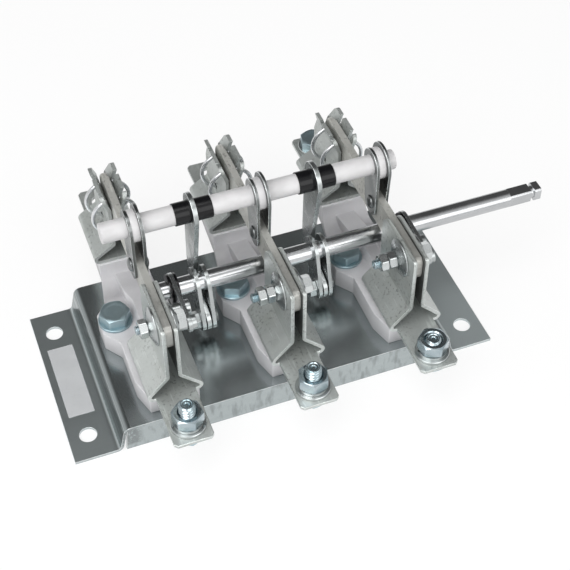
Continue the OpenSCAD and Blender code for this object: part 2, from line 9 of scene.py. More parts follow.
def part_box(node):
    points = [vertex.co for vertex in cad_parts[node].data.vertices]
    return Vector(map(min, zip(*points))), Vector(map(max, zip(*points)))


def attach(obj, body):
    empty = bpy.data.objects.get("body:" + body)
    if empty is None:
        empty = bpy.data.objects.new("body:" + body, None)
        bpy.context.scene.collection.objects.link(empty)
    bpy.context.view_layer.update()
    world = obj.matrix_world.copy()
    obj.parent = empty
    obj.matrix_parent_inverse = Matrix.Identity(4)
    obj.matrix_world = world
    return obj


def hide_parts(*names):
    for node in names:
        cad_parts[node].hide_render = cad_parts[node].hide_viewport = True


bl_info = {
    "name": "Knife Disconnector",
    "version": (1, 0, 0),
    "blender": (4, 5, 0),
    "location": "View3D > Sidebar > Disconnector",
    "description": "Finishes, fasteners and studio stage for a three-pole knife disconnector",
    "category": "Object",
}

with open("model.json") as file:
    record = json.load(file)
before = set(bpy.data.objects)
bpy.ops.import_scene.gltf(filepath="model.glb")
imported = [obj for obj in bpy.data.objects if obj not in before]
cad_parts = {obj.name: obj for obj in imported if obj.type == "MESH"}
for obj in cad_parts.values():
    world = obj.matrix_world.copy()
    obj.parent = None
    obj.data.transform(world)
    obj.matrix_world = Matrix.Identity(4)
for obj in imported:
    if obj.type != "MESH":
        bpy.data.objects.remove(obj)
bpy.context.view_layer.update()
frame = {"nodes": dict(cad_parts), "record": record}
NODES = frame["nodes"]
MM = 0.001


def metres(*lengths_mm):
    """Lengths given in millimetres, in Blender's metres."""
    return tuple(length * MM for length in lengths_mm)


def section(*points_mm):
    """Points (radius, height) round the section of a turned piece, given in millimetres."""
    return [metres(*point) for point in points_mm]


# Places on the switch

POLES = (1, 2, 3)
POLE_X = [(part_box(f"blade_{pole}")[0][0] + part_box(f"blade_{pole}")[1][0]) / 2 for pole in POLES]
POLE_PITCH = POLE_X[1] - POLE_X[0]
TERMINAL_Y, REAR_TERMINAL_Y = metres(-82.5, 116)
HINGE_Y, HINGE_Z = metres(-40, 80)
EAR_X, EAR_Y = metres(-18, 12)
FLANGE_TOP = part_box("base_plate")[0][2] + 2.0 * MM
PANEL_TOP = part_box("base_plate")[1][2]

# Where a finish changes

DULL_END_X, LIP_Y = metres(108, 60.4)
# Half width and lowest height of the painted shade in the contact gaps
GAP_SHADE_HALF_X, GAP_SHADE_LOW_Z = metres(2.8, 44)
BLADE_SOIL_Y = metres(15, -30)
# Below this height the insulators get painted shade
INSULATOR_SHADE_Z = 34 * MM

# Fasteners; heights are above the mounting face, and a pair of them is where a head or thread
# begins and where its free end is

M10_RADIUS, M10_FLATS, M10_NUT, M10_BORE = metres(5, 17, 8, 4.7)
M6_RADIUS, M6_FLATS, M6_NUT, M6_BORE = metres(3, 10, 5, 2.8)
COLLAR = section((5, 34), (10.5, 34), (10.75, 34.3), (10.75, 35.7), (10.4, 36), (5, 36))
WASHER = section((5.2, 0), (10.4, 0), (10.75, 0.35), (10.75, 1.6), (10.4, 2), (5.2, 2))
SPLIT_INNER, SPLIT_OUTER, SPLIT_THICK, SPLIT_RISE = metres(5.2, 9, 2.1, 0.4)
SPLIT_GAP_DEG = 12
EAR_HEAD = metres(35.8, 43)
FRONT_HEAD, FRONT_THREAD_FROM, FRONT_ENDS = metres(34, 27), 33.5 * MM, metres(55.9, 55.9, 49.6)
REAR_HEAD, REAR_THREAD = metres(41.4, 48.4), metres(42, 23)
FRONT_WASHER_Z, FRONT_SPLIT_Z, FRONT_NUT_Z = metres(36.4, 38.4, 40.9)
REAR_WASHER_Z, REAR_NUT_Z = metres(39.4, 29)
FRONT_SPIN_PER_M, REAR_SPIN = 37, 0.3
SIXTH_TURN = math.pi / 3

# Hinge bolts, along X from the middle of each pole, and the tail on the shaft's left end

HINGE_HEAD, HINGE_THREAD_FROM, HINGE_ENDS = metres(9, 14), 9.5 * MM, metres(-16, -23, -23)
HINGE_NUTS, HINGE_NUT_X = (1, 2, 2), metres(-14, -19.4)
SHAFT_TAIL = section((5.7, 0.3), (5.7, -5.6), (5.1, -6.2), (1.5, -6.2), (0.5, -5.2))

# Shapes of edges, hexagons and threads

SMOOTH_ANGLE, ROUNDED_SMOOTH_ANGLE = math.radians(35), math.radians(60)
FLAT_ANGLE, SHARP_ANGLE, NOSE_ANGLE = math.radians(0.8), math.radians(32), math.radians(60)
SAME_CAD_POINT, SAME_POINT = 1e-6, 1e-7
NOSE_LENGTH, NOSE_MM, NOSE_SEGMENTS = 8.1 * MM, 1.7, 4
SMALL_EDGE_MM, RIVET_EDGE_MM = 0.3, 0.2
LABEL_SINK, LABEL_THICK = metres(0.02, 0.12)
ROUND_POINTS, HEX_POINTS, THREAD_POINTS, SPLIT_POINTS = 48, 72, 40, 60
HEX_RIM, HEX_CHAMFER, NUT_SINK = 0.95, math.radians(30), 0.08
DISH_RIM, DISH_FLOOR = 0.34, 0.29
THREAD_STEPS, THREAD_DEPTH, FLANK_SLOPE, FLANK_START, END_CHAMFER = 10, 0.5, 1.6, 0.3, 0.9
THREAD_END = ((0.66, 0.0), (0.56, 0.1), (0.34, 0.1), (0.24, 0.22))
SQUARE = ((-1, -1), (1, -1), (1, 1), (-1, 1))

# Studio

FLOOR_HALF, FLOOR_THICK = 4.0, 0.02
LAMP_AIM = (0.0, 0.0, 0.05)
SENSOR_MM = 36.0
SCREEN_WAY = (0.22, 0.66, 0.72)
SCREEN_FADE = {"From Min": 0.45, "From Max": 0.85, "To Min": 0.8, "To Max": 0.1}
WHITE = (1.0, 1.0, 1.0, 1.0)


# Shader building


class Wire:
    """A node's output that takes part in Python sums; each sum adds a Math node."""

    def __init__(self, finish, socket):
        self.finish = finish
        self.socket = socket

    def _sum(self, operation, left, right):
        return self.finish.node("ShaderNodeMath", {"operation": operation}, {0: left, 1: right})

    def __add__(self, other):
        return self._sum("ADD", self, other)

    def __radd__(self, other):
        return self._sum("ADD", other, self)

    def __sub__(self, other):
        return self._sum("SUBTRACT", self, other)

    def __rsub__(self, other):
        return self._sum("SUBTRACT", other, self)

    def __mul__(self, other):
        return self._sum("MULTIPLY", self, other)

    def __rmul__(self, other):
        return self._sum("MULTIPLY", other, self)


class Finish:
    """One material and the few node patterns that the finishes share."""

    def __init__(self, name):
        self.material = bpy.data.materials.new(name)
        self.material.use_nodes = True
        self.tree = self.material.node_tree
        self.shader = self.tree.nodes["Principled BSDF"]

    def set_input(self, socket, value):
        """Joins a wire to a socket, or sets the socket to a plain value."""
        if isinstance(value, Wire):
            self.tree.links.new(value.socket, socket)
        else:
            socket.default_value = value

    def node(self, kind, settings=None, sockets=None, out=0):
        """Adds a node and returns the wire from one of its outputs."""
        made = self.tree.nodes.new(kind)
        for key, value in (settings or {}).items():
            setattr(made, key, value)
        for key, value in (sockets or {}).items():
            self.set_input(made.inputs[key], value)
        return Wire(self, made.outputs[out])

    def here(self):
        """Object coordinates, in metres."""
        return self.node("ShaderNodeTexCoord", out="Object")

    def along(self, axis):
        """One of those coordinates."""
        return self.node("ShaderNodeSeparateXYZ", None, {"Vector": self.here()}, out=axis)

    def noise(self, per_metre, detail, stretch=(1, 1, 1), turn=(0, 0, 0)):
        place = self.node(
            "ShaderNodeMapping", None, {"Vector": self.here(), "Rotation": turn, "Scale": stretch}
        )
        return self.node(
            "ShaderNodeTexNoise", None, {"Vector": place, "Scale": per_metre, "Detail": detail}
        )

    def grade(self, wire, low, high, to_low=0.0, to_high=1.0):
        """Spreads a range of values over another one, and holds its ends."""
        return self.node(
            "ShaderNodeMapRange",
            {"clamp": True},
            {"Value": wire, "From Min": low, "From Max": high, "To Min": to_low, "To Max": to_high},
        )

    def blend(self, share, first, second):
        """A mix of two colours with a share of the second."""
        return self.node(
            "ShaderNodeMix", {"data_type": "RGBA"}, {0: share, 6: first, 7: second}, out=2
        )

    def bump(self, height, depth_mm, strength):
        return self.node(
            "ShaderNodeBump",
            None,
            {"Strength": strength, "Distance": depth_mm * MM, "Height": height},
        )

    def feed(self, **values):
        """Sets the shader's inputs by name and returns the material."""
        for key, value in values.items():
            self.set_input(self.shader.inputs[key.replace("_", " ").title()], value)
        return self.material


def shade(colour, factor):
    """A colour with alpha, made lighter or darker by a factor."""
    return (*(min(1.0, c * factor) for c in colour[:3]), 1.0)


def sheet_finish(name, colour, rough, cloud_per_m, streaks, metallic, gap_shade=None, soil=None):
    """Tinned sheet: clouds, grain one way, scratches and stains.

    Painted shade fills the contact gaps (half a gap, lowest height); soil thickens along Y (from,
    to).
    """
    f = Finish(name)
    clouds = f.noise(cloud_per_m, 5.0)
    grain = f.noise(700.0, 2.0, stretch=streaks)
    specks = f.grade(f.noise(520.0, 7.0), 0.56, 0.64) * f.grade(f.noise(45.0, 3.0), 0.4, 0.6)
    stains = f.grade(f.noise(42.0, 7.0), 0.52, 0.68)
    hairs = f.noise(1100.0, 1.0, stretch=(0.5, 0.06, 0.9), turn=(0.5, 0.3, 0.4))
    scratches = f.grade(hairs, 0.63, 0.74)
    base = f.blend(f.grade(clouds, 0.3, 0.7), shade(colour, 0.9), shade(colour, 1.08))
    base = f.blend(f.grade(grain, 0.35, 0.7, 0.0, 0.3), base, shade(colour, 0.84))
    base = f.blend(stains * 0.5, base, shade((colour[0], colour[1], 0.95 * colour[2]), 0.7))
    base = f.blend(specks * 0.75, base, shade(colour, 0.4))
    base = f.blend(scratches * 0.5, base, shade(colour, 1.35))
    # painted shade: the gaps between the contact plates are darkened almost to black, where shadow
    # falls
    if gap_shade:
        half_gap, low = gap_shade
        from_pole = f.node(
            "ShaderNodeMath",
            {"operation": "PINGPONG"},
            {0: f.along("X") - POLE_X[0], 1: POLE_PITCH / 2},
        )
        inside = f.grade(from_pole, half_gap, half_gap + 0.5 * MM, 1.0, 0.0)
        above = f.grade(f.along("Z"), low, low + 4 * MM)
        base = f.blend(inside * above * 0.85, base, shade(colour, 0.12))
    if soil:
        soiled = f.grade(f.along("Y"), *soil)
        base = f.blend(soiled * (0.45 + stains * 0.3), base, shade(colour, 0.4))
    wear = clouds * 0.5 + stains * 0.3 + grain * 0.2
    return f.feed(
        base_color=base,
        metallic=metallic,
        roughness=f.grade(wear, 0.2, 0.7, rough * 0.85, rough * 1.25),
        normal=f.bump(grain * 0.4 + clouds * 0.6, 0.04, 0.3),
    )


def galvanised_finish(name, colour, rough):
    """Galvanised sheet: rolling lines and scuffs; dull ends, painted reflection at the right,
    stained lips with painted shade, painted shade and highlight lines on the steps.
    """
    f = Finish(name)
    clouds = f.noise(12.0, 2.0)
    lines = f.noise(420.0, 3.0, stretch=(0.012, 1.0, 1.0))
    grain = f.noise(1300.0, 2.0)
    rubbed = f.noise(120.0, 6.0, stretch=(1.0, 0.35, 1.0), turn=(0.0, 0.0, 0.6))
    scuffs = f.grade(rubbed, 0.64, 0.8)
    base = f.blend(f.grade(clouds, 0.3, 0.7), shade(colour, 0.96), shade(colour, 1.04))
    base = f.blend(f.grade(lines, 0.4, 0.75, 0.0, 0.3), base, shade(colour, 0.88))
    base = f.blend(scuffs * 0.3, base, shade(colour, 1.25))

    x_squared = f.along("X") * f.along("X")
    y_squared = f.along("Y") * f.along("Y")
    ends = f.grade(x_squared, DULL_END_X**2, (1.06 * DULL_END_X) ** 2)
    # painted reflection: the right end is lightened as well as roughened
    right_dulling_and_reflection = f.grade(f.along("X"), 0.8 * DULL_END_X, 1.06 * DULL_END_X)

    # the lips are darkened evenly as painted shade, with drip stains laid over them
    drips = f.grade(f.noise(260.0, 6.0, stretch=(1.0, 1.0, 0.3)), 0.5, 0.68)
    lip = f.grade(y_squared, LIP_Y**2, (LIP_Y + 0.5 * MM) ** 2)
    base = f.blend(lip * 0.25 + drips * lip * 0.6, base, shade(colour, 0.55))

    # painted shade on the steps between flange and panel, with painted highlight lines along their
    # bends
    over_flange = f.grade(f.along("Z"), 3 * MM, 5 * MM)
    under_panel = f.grade(f.along("Z"), PANEL_TOP - 2 * MM, PANEL_TOP - 0.2 * MM, 1.0, 0.0)
    outside = f.grade(x_squared, (0.88 * DULL_END_X) ** 2, (0.92 * DULL_END_X) ** 2)
    step = over_flange * under_panel * outside
    bend_highlight_lines = f.grade(f.noise(900.0, 2.0, stretch=(1.0, 0.008, 1.0)), 0.55, 0.68)
    base = f.blend(step * 0.75, base, shade(colour, 0.42))
    base = f.blend(step * bend_highlight_lines * 0.6, base, shade(colour, 1.15))

    wear = f.grade(clouds * 0.5 + lines * 0.3 + scuffs * 0.2, 0.25, 0.7, rough * 0.9, rough * 1.2)
    # the ends are lightened as duller zinc; at the right end the lightening is also painted
    # reflection
    return f.feed(
        base_color=f.blend(ends * 0.3 + right_dulling_and_reflection * 0.4, base, shade(colour, 1.2)),
        metallic=1.0,
        roughness=wear + ends * 0.16 + right_dulling_and_reflection * 0.16,
        normal=f.bump(lines * 0.6 + grain * 0.4, 0.012, 0.2),
    )


def plated_finish(name, colour, tint, rough):
    """Zinc-plated steel: two tints that drift into each other, fine scratches and dark pits."""
    f = Finish(name)
    drift = f.grade(f.noise(75.0, 2.0), 0.36, 0.66)
    hairs = f.noise(1200.0, 2.0, stretch=(1.0, 0.1, 0.4), turn=(0.3, 0.2, 0.7))
    scratches = f.grade(hairs, 0.58, 0.75)
    pits = f.grade(f.noise(520.0, 4.0), 0.66, 0.76)
    base = f.blend(drift, shade(colour, 1.0), shade(tint, 1.0))
    base = f.blend(scratches * 0.18, base, shade(colour, 0.75))
    base = f.blend(pits * 0.35, base, shade(colour, 0.5))
    return f.feed(
        base_color=base,
        metallic=1.0,
        roughness=f.grade(drift * 0.7 + scratches * 0.3, 0.0, 1.0, rough * 0.85, rough * 1.25),
        normal=f.bump(f.noise(600.0, 2.0), 0.015, 0.15),
    )


def rubbed_and_highlit_finish(name, colour, rough):
    """Rubbed edges of plated metal, also a painted highlight: brighter than the faces, dulled here
    and there.
    """
    f = Finish(name)
    rub = f.grade(f.noise(210.0, 4.0), 0.36, 0.62)
    return f.feed(
        base_color=f.blend(rub, shade(colour, 1.02), shade(colour, 1.45)),
        metallic=1.0,
        roughness=f.grade(rub, 0.0, 1.0, rough * 1.2, rough * 0.8),
    )


def turned_finish(name, colour, rough):
    """Bright bar turned on a lathe: rings along its length and long faint scuffs."""
    f = Finish(name)
    rings = f.noise(2200.0, 1.0, stretch=(1.0, 0.02, 0.02))
    drift = f.noise(45.0, 3.0)
    scuffs = f.grade(f.noise(260.0, 4.0, stretch=(0.25, 1.0, 1.0)), 0.58, 0.72)
    base = f.blend(f.grade(drift, 0.35, 0.65), shade(colour, 0.9), shade(colour, 1.08))
    base = f.blend(scuffs * 0.35, base, shade(colour, 0.6))
    return f.feed(
        base_color=base,
        metallic=1.0,
        roughness=f.grade(rings * 0.6 + drift * 0.4, 0.3, 0.7, rough * 0.7, rough * 1.5),
        normal=f.bump(rings, 0.02, 0.2),
    )


def moulded_finish(name, colour, rough, grain_mm, gloss=0.5, smudge=0.1, foot=None):
    """Moulded plastic: mottling, fine grain, dust and smudges; painted shade below a height, if
    given.
    """
    f = Finish(name)
    mottle = f.grade(f.noise(60.0, 4.0), 0.32, 0.68)
    grain = f.noise(1500.0, 3.0)
    dust = f.grade(f.noise(330.0, 6.0), 0.64, 0.78)
    base = f.blend(mottle, shade(colour, 0.95), shade(colour, 1.03))
    base = f.blend(dust * 0.25, base, shade(colour, 0.72))
    smudges = f.grade(f.noise(95.0, 7.0, stretch=(0.6, 1.0, 1.0)), 0.48, 0.7)
    base = f.blend(smudges * smudge, base, shade(colour, 0.55))
    # painted shade: the moulding darkens towards its foot, where less light reaches it
    if foot:
        ragged = f.along("Z") + f.noise(70.0, 4.0) * 0.3 * foot
        foot_shade = f.grade(ragged, 0.75 * foot, 1.25 * foot, 1.0, 0.0)
        base = f.blend(foot_shade * 0.7, base, shade(colour, 0.45))
    f.shader.inputs["Specular IOR Level"].default_value = gloss
    return f.feed(
        base_color=base,
        roughness=f.grade(mottle * 0.5 + grain * 0.5, 0.2, 0.8, rough * 0.85, rough * 1.15),
        normal=f.bump(grain, grain_mm, 0.3),
    )


# Meshes


def finished_object(name, bm, smooth_angle=SMOOTH_ANGLE):
    """A new object at the origin from a bmesh, smooth up to an angle, its flat faces kept flat."""
    bmesh.ops.recalc_face_normals(bm, faces=bm.faces)
    mesh = bpy.data.meshes.new(name)
    for face in bm.faces:
        face.smooth = True
    bm.to_mesh(mesh)
    bm.free()
    mesh.set_sharp_from_angle(angle=smooth_angle)
    made = bpy.data.objects.new(name, mesh)
    bpy.context.scene.collection.objects.link(made)
    weigh = made.modifiers.new("Weighted Normals", "WEIGHTED_NORMAL")
    weigh.keep_sharp = True
    depsgraph = bpy.context.evaluated_depsgraph_get()
    made.data = bpy.data.meshes.new_from_object(
        made.evaluated_get(depsgraph), preserve_all_data_layers=True, depsgraph=depsgraph
    )
    made.modifiers.remove(weigh)
    bpy.data.meshes.remove(mesh)
    return made


def body_of(node):
    """The body that a CAD node rides on."""
    bodies = frame["record"]["behaviour"]["bodies"]
    return next(body for body, names in bodies.items() if node in names)


def slot_of(node):
    """The record's material slot of a CAD node."""
    return next(s["material_slot"] for s in frame["record"]["subparts"] if s["node"] == node)


def dress(piece, material, *nodes, edge=None):
    """Gives a piece the finishes that it lacks, and lets it stand for its CAD nodes."""
    finishes = (material, edge) if edge else (material,)
    for finish in finishes[len(piece.data.materials) :]:
        piece.data.materials.append(finish)
    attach(piece, body_of(nodes[0]))
    slot_of(nodes[0])
    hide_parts(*nodes)


def round_off(bm, edges, radius_mm, segments, material):
    """Rounds edges; the new faces take a finish by its index, or by -1 their neighbours'."""
    bmesh.ops.bevel(
        bm,
        geom=edges,
        offset=radius_mm * MM,
        segments=segments,
        profile=0.5,
        affect="EDGES",
        clamp_overlap=True,
        material=material,
    )


def broken_edges(node, radius_mm, material, segments=2, edge=None, nose_mm=0.0):
    """Puts a copy with rounded edges in place of a CAD node; its end at +Y may be rounded more."""
    bm = bmesh.new()
    bm.from_mesh(NODES[node].data)
    bmesh.ops.remove_doubles(bm, verts=bm.verts, dist=SAME_CAD_POINT)
    bmesh.ops.dissolve_limit(bm, angle_limit=FLAT_ANGLE, verts=bm.verts, edges=bm.edges)
    if nose_mm:
        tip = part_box(node)[1][1] - NOSE_LENGTH
        nose = [
            e
            for e in bm.edges
            if all(v.co.y > tip for v in e.verts) and e.calc_face_angle(0) > NOSE_ANGLE
        ]
        round_off(bm, nose, nose_mm, NOSE_SEGMENTS, 0)
    sharp = [
        e for e in bm.edges if len(e.link_faces) == 2 and e.calc_face_angle(0) > SHARP_ANGLE
    ]
    round_off(bm, sharp, radius_mm, segments, 1 if edge else -1)
    piece = finished_object(node + "_finished", bm, ROUNDED_SMOOTH_ANGLE)
    dress(piece, material, node, edge=edge)


def loft(bm, loops, capped=True):
    """Joins rings of points with quads, and closes the two ends if asked; returns the faces."""
    rows = [[bm.verts.new(p) for p in loop] for loop in loops]
    faces = []
    for low, high in zip(rows, rows[1:]):
        for k in range(len(low)):
            n = (k + 1) % len(low)
            faces.append(bm.faces.new((low[k], low[n], high[n], high[k])))
    if capped:
        faces.append(bm.faces.new(list(reversed(rows[0]))))
        faces.append(bm.faces.new(rows[-1]))
    return faces


def loft_round(bm, loops):
    """Joins rings of points with quads right round a section, back to the first ring."""
    loft(bm, loops + [loops[0]], capped=False)
    bmesh.ops.remove_doubles(bm, verts=bm.verts, dist=SAME_POINT)


def circle(radius, z, count=ROUND_POINTS):
    """Points round the Z axis at a height."""
    return [
        (radius * math.cos(math.tau * k / count), radius * math.sin(math.tau * k / count), z)
        for k in range(count)
    ]


def hex_loops(flats, high, chamfer_foot):
    """Rings round a hexagon with its corners turned off at the top, and at the foot if asked."""
    flat_r = flats / 2
    rim = HEX_RIM * flat_r

    def side(z, sense):
        ring = []
        for k in range(HEX_POINTS):
            from_flat = math.radians((360 * k / HEX_POINTS) % 60 - 30)
            r = flat_r / math.cos(from_flat)
            drop = (r - rim) * math.tan(HEX_CHAMFER)
            a = math.tau * k / HEX_POINTS
            ring.append((r * math.cos(a), r * math.sin(a), z + sense * drop))
        return ring

    foot = [circle(rim, 0.0, HEX_POINTS), side(0.0, 1 if chamfer_foot else 0)]
    return foot + [side(high, -1), circle(rim, high, HEX_POINTS)]


def add_nut(bm, flats, high, bore):
    """A hexagon nut on the ground with chamfered corners and a countersunk bore."""
    sink = NUT_SINK * flats
    foot = [circle(bore, sink, HEX_POINTS), circle(bore + sink, 0.0, HEX_POINTS)]
    top = [circle(bore + sink, high, HEX_POINTS), circle(bore, high - sink, HEX_POINTS)]
    loft_round(bm, foot + hex_loops(flats, high, True) + top)


def add_head(bm, flats, low, high, dish):
    """A hexagon head with its outer face at high: chamfered there, with a shallow pressed dish."""
    sense = 1 if high > low else -1
    tall = abs(high - low)
    loops = hex_loops(flats, tall, False)
    loops.append(circle(DISH_RIM * flats, tall, HEX_POINTS))
    loops.append(circle(DISH_FLOOR * flats, tall - dish, HEX_POINTS))
    loft(bm, [[(x, y, low + sense * z) for x, y, z in loop] for loop in loops])


def add_thread(bm, radius, low, high, pitch):
    """A threaded rod in the second finish; its end at high is chamfered, grooved and centred."""
    sense = 1 if high > low else -1
    run = abs(high - low)
    depth = THREAD_DEPTH * pitch
    steps = max(4, round(run / pitch * THREAD_STEPS))
    loops = []
    for i in range(steps + 1):
        z = run * i / steps
        ring = []
        for k in range(THREAD_POINTS):
            tooth = abs(2 * ((z / pitch - k / THREAD_POINTS) % 1.0) - 1)
            flank = min(1.0, max(0.0, FLANK_SLOPE * tooth - FLANK_START))
            r = min(radius - depth * flank, radius - END_CHAMFER * depth + (run - z))
            a = math.tau * k / THREAD_POINTS
            ring.append((r * math.cos(a), r * math.sin(a), low + sense * z))
        loops.append(ring)
    for share, sink in THREAD_END:
        z = low + sense * (run - sink * radius)
        loops.append(circle(share * radius, z, THREAD_POINTS))
    for face in loft(bm, loops):
        face.material_index = 1


def add_split_washer(bm, inner, outer, thick, rise):
    """A split spring washer on the ground whose ends stand apart in height."""
    corners = ((inner, 0.0), (outer, 0.0), (outer, thick), (inner, thick))
    loops = []
    for k in range(SPLIT_POINTS + 1):
        a = math.radians(SPLIT_GAP_DEG / 2 + (360 - SPLIT_GAP_DEG) * k / SPLIT_POINTS)
        z = rise * k / SPLIT_POINTS
        loops.append([(r * math.cos(a), r * math.sin(a), z + h) for r, h in corners])
    loft(bm, loops)


def add_lathe(bm, profile):
    """A turned ring from (radius, height) points that run right round its section."""
    loft_round(bm, [circle(r, z) for r, z in profile])


def turn_to_x(bm):
    """Lays what was built along Z along X, its top towards +X."""
    quarter = Matrix.Rotation(math.pi / 2, 3, "Y")
    bmesh.ops.rotate(bm, verts=bm.verts, cent=(0, 0, 0), matrix=quarter)


def join_at(bm, built, place, spin):
    """Adds a built piece to a bmesh, spun about Z and moved to its place."""
    built.transform(Matrix.Translation(place) @ Matrix.Rotation(spin, 4, "Z"))
    mesh = bpy.data.meshes.new("built")
    built.to_mesh(mesh)
    built.free()
    bm.from_mesh(mesh)
    bpy.data.meshes.remove(mesh)


def set_out_tree():
    """Node tree that sets one piece on every point and makes it one mesh with one finish."""
    tree = bpy.data.node_groups.new("Set Out", "GeometryNodeTree")
    inputs = {
        "Places": "Geometry",
        "Piece": "Object",
        "Spin": "Vector",
        "Seed": "Int",
        "Finish": "Material",
    }
    for name, kind in inputs.items():
        tree.interface.new_socket(name, in_out="INPUT", socket_type="NodeSocket" + kind)
    tree.interface.new_socket("Pieces", in_out="OUTPUT", socket_type="NodeSocketGeometry")
    new, join = tree.nodes.new, tree.links.new
    start, end = new("NodeGroupInput"), new("NodeGroupOutput")
    info, turn = new("GeometryNodeObjectInfo"), new("FunctionNodeEulerToRotation")
    chance = new("FunctionNodeRandomValue")
    chance.data_type = "FLOAT_VECTOR"
    chance.inputs[0].default_value = (0.0, 0.0, 0.0)
    put, real = new("GeometryNodeInstanceOnPoints"), new("GeometryNodeRealizeInstances")
    paint = new("GeometryNodeSetMaterial")
    join(start.outputs["Places"], put.inputs["Points"])
    join(start.outputs["Piece"], info.inputs["Object"])
    join(start.outputs["Spin"], chance.inputs[1])
    join(start.outputs["Seed"], chance.inputs["Seed"])
    join(chance.outputs[0], turn.inputs[0])
    join(info.outputs["Geometry"], put.inputs["Instance"])
    join(turn.outputs[0], put.inputs["Rotation"])
    join(put.outputs[0], real.inputs[0])
    join(real.outputs[0], paint.inputs["Geometry"])
    join(start.outputs["Finish"], paint.inputs["Material"])
    join(paint.outputs[0], end.inputs[0])
    return tree


def set_out(name, bm, places, material, *nodes, spin=(0.0, 0.0, 0.0), seed=1):
    """Repeats one piece at several places, each spun by chance, as one mesh for the CAD nodes."""
    pattern = finished_object(name + "_pattern", bm)
    mesh = bpy.data.meshes.new(name + "_places")
    mesh.from_pydata([Vector(p) for p in places], [], [])
    holder = bpy.data.objects.new(name + "_places", mesh)
    bpy.context.scene.collection.objects.link(holder)
    tree = bpy.data.node_groups.get("Set Out") or set_out_tree()
    modifier = holder.modifiers.new("Set Out", "NODES")
    modifier.node_group = tree
    sockets = {s.name: s.identifier for s in tree.interface.items_tree if s.in_out == "INPUT"}
    modifier[sockets["Piece"]] = pattern
    modifier[sockets["Spin"]] = spin
    modifier[sockets["Seed"]] = seed
    modifier[sockets["Finish"]] = material
    depsgraph = bpy.context.evaluated_depsgraph_get()
    result = bpy.data.meshes.new_from_object(holder.evaluated_get(depsgraph))
    result.set_sharp_from_angle(angle=SMOOTH_ANGLE)
    piece = bpy.data.objects.new(name, result)
    bpy.context.scene.collection.objects.link(piece)
    for spent in (holder, pattern):
        bpy.data.objects.remove(spent)
    dress(piece, material, *nodes)


# Settings


def colour_setting(name, description, default):
    return bpy.props.FloatVectorProperty(
        name=name,
        description=description,
        default=default,
        size=3,
        subtype="COLOR",
        min=0.0,
        max=1.0,
    )


def place_setting(name, description, default):
    return bpy.props.FloatVectorProperty(
        name=name, description=description, default=default, subtype="TRANSLATION"
    )


def number_setting(name, description, default, **limits):
    return bpy.props.FloatProperty(name=name, description=description, default=default, **limits)


def millimetre_setting(name, description, default):
    return number_setting(name, description, default, min=0.0, max=50.0)


class DisconnectorFinishes(bpy.types.PropertyGroup):
    """Colours of the switch's surfaces."""

    sheet: colour_setting("Galvanised Sheet", "Mounting plate", (0.48, 0.527, 0.532))
    moulding: colour_setting("Insulator Moulding", "Three insulators", (0.65, 0.646, 0.664))
    tinned: colour_setting("Tinned Copper", "Hinge and jaw contacts", (0.535, 0.565, 0.55))
    blade: colour_setting("Rubbed Tin", "Blades", (0.6, 0.6, 0.565))
    zinc: colour_setting("Zinc Plating", "Brackets, levers and washers", (0.56, 0.585, 0.585))
    zinc_tint: colour_setting("Zinc Tint", "Second tint in the plating", (0.5, 0.53, 0.53))
    blue_zinc: colour_setting("Blue Zinc", "Fixing and terminal bolts", (0.47, 0.59, 0.63))
    blue_tint: colour_setting("Blue Zinc Tint", "Second tint of those bolts", (0.34, 0.45, 0.49))
    nut_zinc: colour_setting("Nut Zinc", "Terminal nuts", (0.46, 0.53, 0.56))
    nut_tint: colour_setting("Nut Tint", "Second tint of those nuts", (0.34, 0.42, 0.46))
    thread: colour_setting("Threads", "Threaded ends of the bolts", (0.46, 0.53, 0.56))
    shaft: colour_setting("Bright Bar", "Drive shaft", (0.52, 0.53, 0.54))
    rod: colour_setting("White Rod", "Insulating rod", (0.6, 0.595, 0.6))
    black: colour_setting("Black Parts", "Sleeves and retaining rings", (0.005, 0.005, 0.006))
    label: colour_setting("Label", "Blank label on the left flange", (0.5, 0.51, 0.52))


class DisconnectorEdges(bpy.types.PropertyGroup):
    """Edge radii in millimetres."""

    plate: millimetre_setting("Plate Edge", "Edge radius of the mounting plate, in mm", 0.8)
    sheet: millimetre_setting("Sheet Edge", "Edge radius of sheet pieces, in mm", 0.35)
    moulding: millimetre_setting("Moulding Edge", "Edge radius of the mouldings, in mm", 0.9)
    bar: millimetre_setting("Bar Edge", "Edge radius of blades, bar and rod, in mm", 0.5)


class DisconnectorFasteners(bpy.types.PropertyGroup):
    """Thread pitches and head dishes in millimetres."""

    terminal_pitch: millimetre_setting("Terminal Pitch", "Pitch of the terminal bolts, in mm", 2.5)
    hinge_pitch: millimetre_setting("Hinge Pitch", "Pitch of the hinge bolts, in mm", 1.0)
    dish: millimetre_setting("Head Dish", "Depth of the dish in the hexagon heads, in mm", 0.5)


class DisconnectorLabel(bpy.types.PropertyGroup):
    """The blank label on the left flange."""

    x: number_setting("Label X", "Middle of the label along X", -0.1262, unit="LENGTH")
    y: number_setting("Label Y", "Middle of the label along Y", 0.0015, unit="LENGTH")
    width: number_setting("Width", "Width along X", 0.0165, unit="LENGTH")
    length: number_setting("Length", "Length along Y", 0.0575, unit="LENGTH")


class DisconnectorStage(bpy.types.PropertyGroup):
    """Camera and studio light."""

    eye: place_setting("Camera", "Camera position", (-0.17565, -0.51717, 0.63783))
    target: place_setting("Target", "Point that the camera looks at", (0.0306, 0.03236, 0.0))
    lens: number_setting("Lens", "Focal length in millimetres", 80.51, min=10.0)
    key: number_setting("Key Light", "Power of the key lamp", 9.5, min=0.0, unit="POWER")
    fill: number_setting("Front Light", "Power of the front lamp", 5.0, min=0.0, unit="POWER")
    top: number_setting("Top Light", "Power of the top lamp", 4.0, min=0.0, unit="POWER")
    floor: colour_setting("Floor", "Colour of the floor", (0.94, 0.94, 0.94))
    lift: number_setting("Floor Lift", "Share of white in the floor", 0.8, min=0.0, max=1.0)


# Operators


